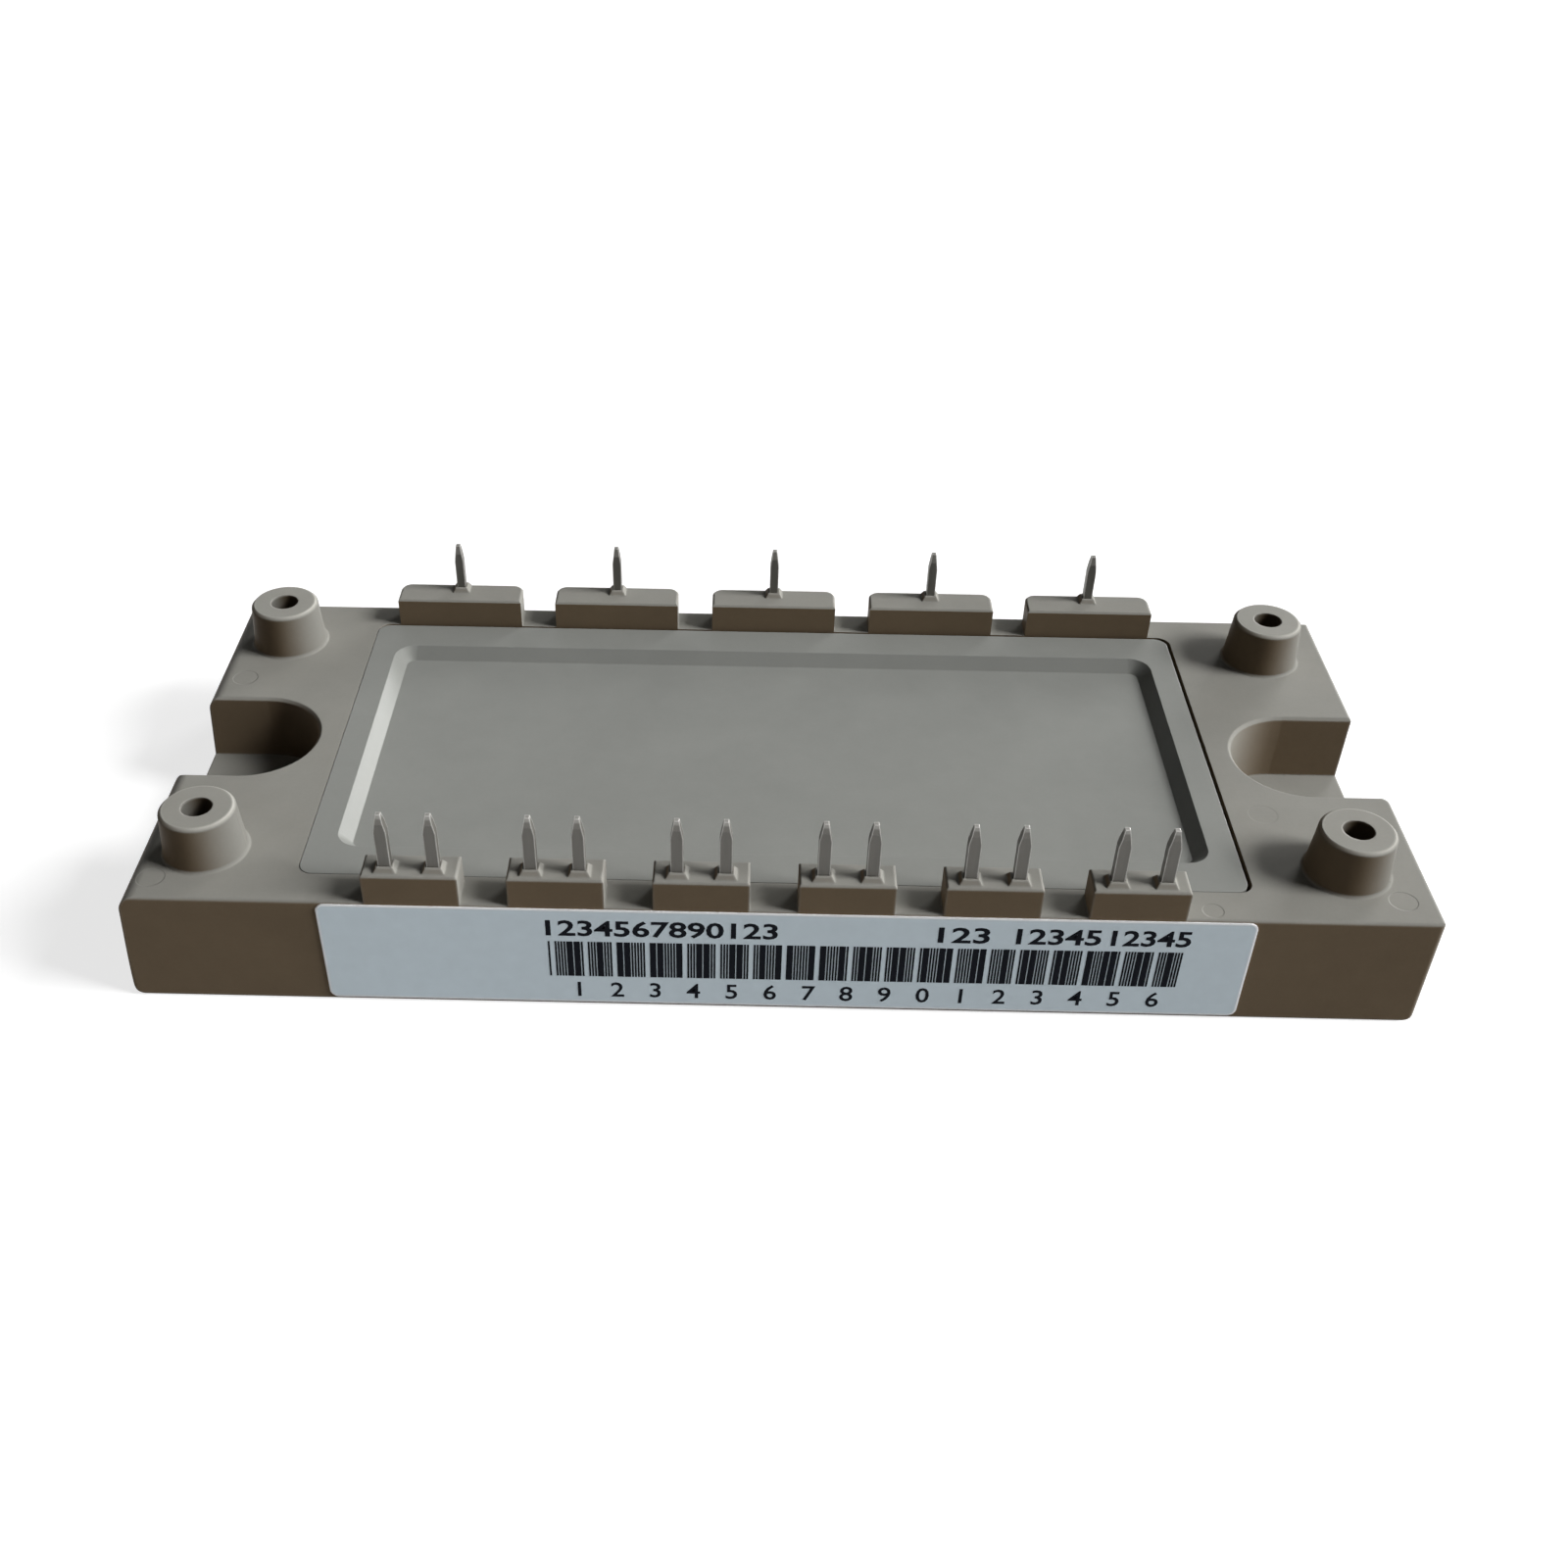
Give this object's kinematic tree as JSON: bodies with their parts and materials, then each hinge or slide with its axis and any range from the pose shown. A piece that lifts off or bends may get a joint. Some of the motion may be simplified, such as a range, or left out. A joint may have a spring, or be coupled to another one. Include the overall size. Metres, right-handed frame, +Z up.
{
  "type": "igbt module",
  "caption": "Flat power transistor module with a dished lid, pin rows on both long sides, screw bosses at the corners and a notched screw hole at each end.",
  "frame": {"origin": "middle of the base plate's underside, the face that lies on the heat sink", "axes": "+X along the length to the square end, +Y from the labelled face to the power pin side, +Z up out of the lid"},
  "size_m": [0.1053, 0.0451, 0.0186],
  "materials": {
    "housing_plastic": "moulded grey-brown plastic, faint glass-fibre mottle",
    "lid_plastic": "moulded grey plastic, fine sparked grain",
    "plate_nickel": "copper plate, matt nickel plated",
    "pin_tin": "tinned copper, dull",
    "label_paper": "pale printed label, satin",
    "glue": "cured silicone glue",
    "silicone_gel": "clear soft silicone gel",
    "solder": "reflowed solder",
    "copper": "etched bare copper",
    "ceramic_white": "unglazed alumina",
    "silicon": "silicon with a metallised top",
    "wire_aluminium": "drawn aluminium wire"
  },
  "bodies": {
    "root": {"base_bead": "glue", "base_plate": "plate_nickel", "base_solder": "solder", "ceramic": "ceramic_white", "chip_solder": "solder", "control_pin_01": "pin_tin", "control_pin_02": "pin_tin", "control_pin_03": "pin_tin", "control_pin_04": "pin_tin", "control_pin_05": "pin_tin", "control_pin_06": "pin_tin", "control_pin_07": "pin_tin", "control_pin_08": "pin_tin", "control_pin_09": "pin_tin", "control_pin_10": "pin_tin", "control_pin_11": "pin_tin", "control_pin_12": "pin_tin", "control_wires": "wire_aluminium", "copper_lower": "copper", "copper_negative": "copper", "copper_phase_u": "copper", "copper_phase_v": "copper", "copper_phase_w": "copper", "copper_positive": "copper", "diode_chip_high_u": "silicon", "diode_chip_high_v": "silicon", "diode_chip_high_w": "silicon", "diode_chip_low_u": "silicon", "diode_chip_low_v": "silicon", "diode_chip_low_w": "silicon", "gel": "silicone_gel", "housing": "housing_plastic", "label": "label_paper", "lid": "lid_plastic", "power_pin_negative": "pin_tin", "power_pin_positive": "pin_tin", "power_pin_u": "pin_tin", "power_pin_v": "pin_tin", "power_pin_w": "pin_tin", "power_wires": "wire_aluminium", "relay_pads": "copper", "switch_chip_high_u": "silicon", "switch_chip_high_v": "silicon", "switch_chip_high_w": "silicon", "switch_chip_low_u": "silicon", "switch_chip_low_v": "silicon", "switch_chip_low_w": "silicon"}
  },
  "joints": []
}
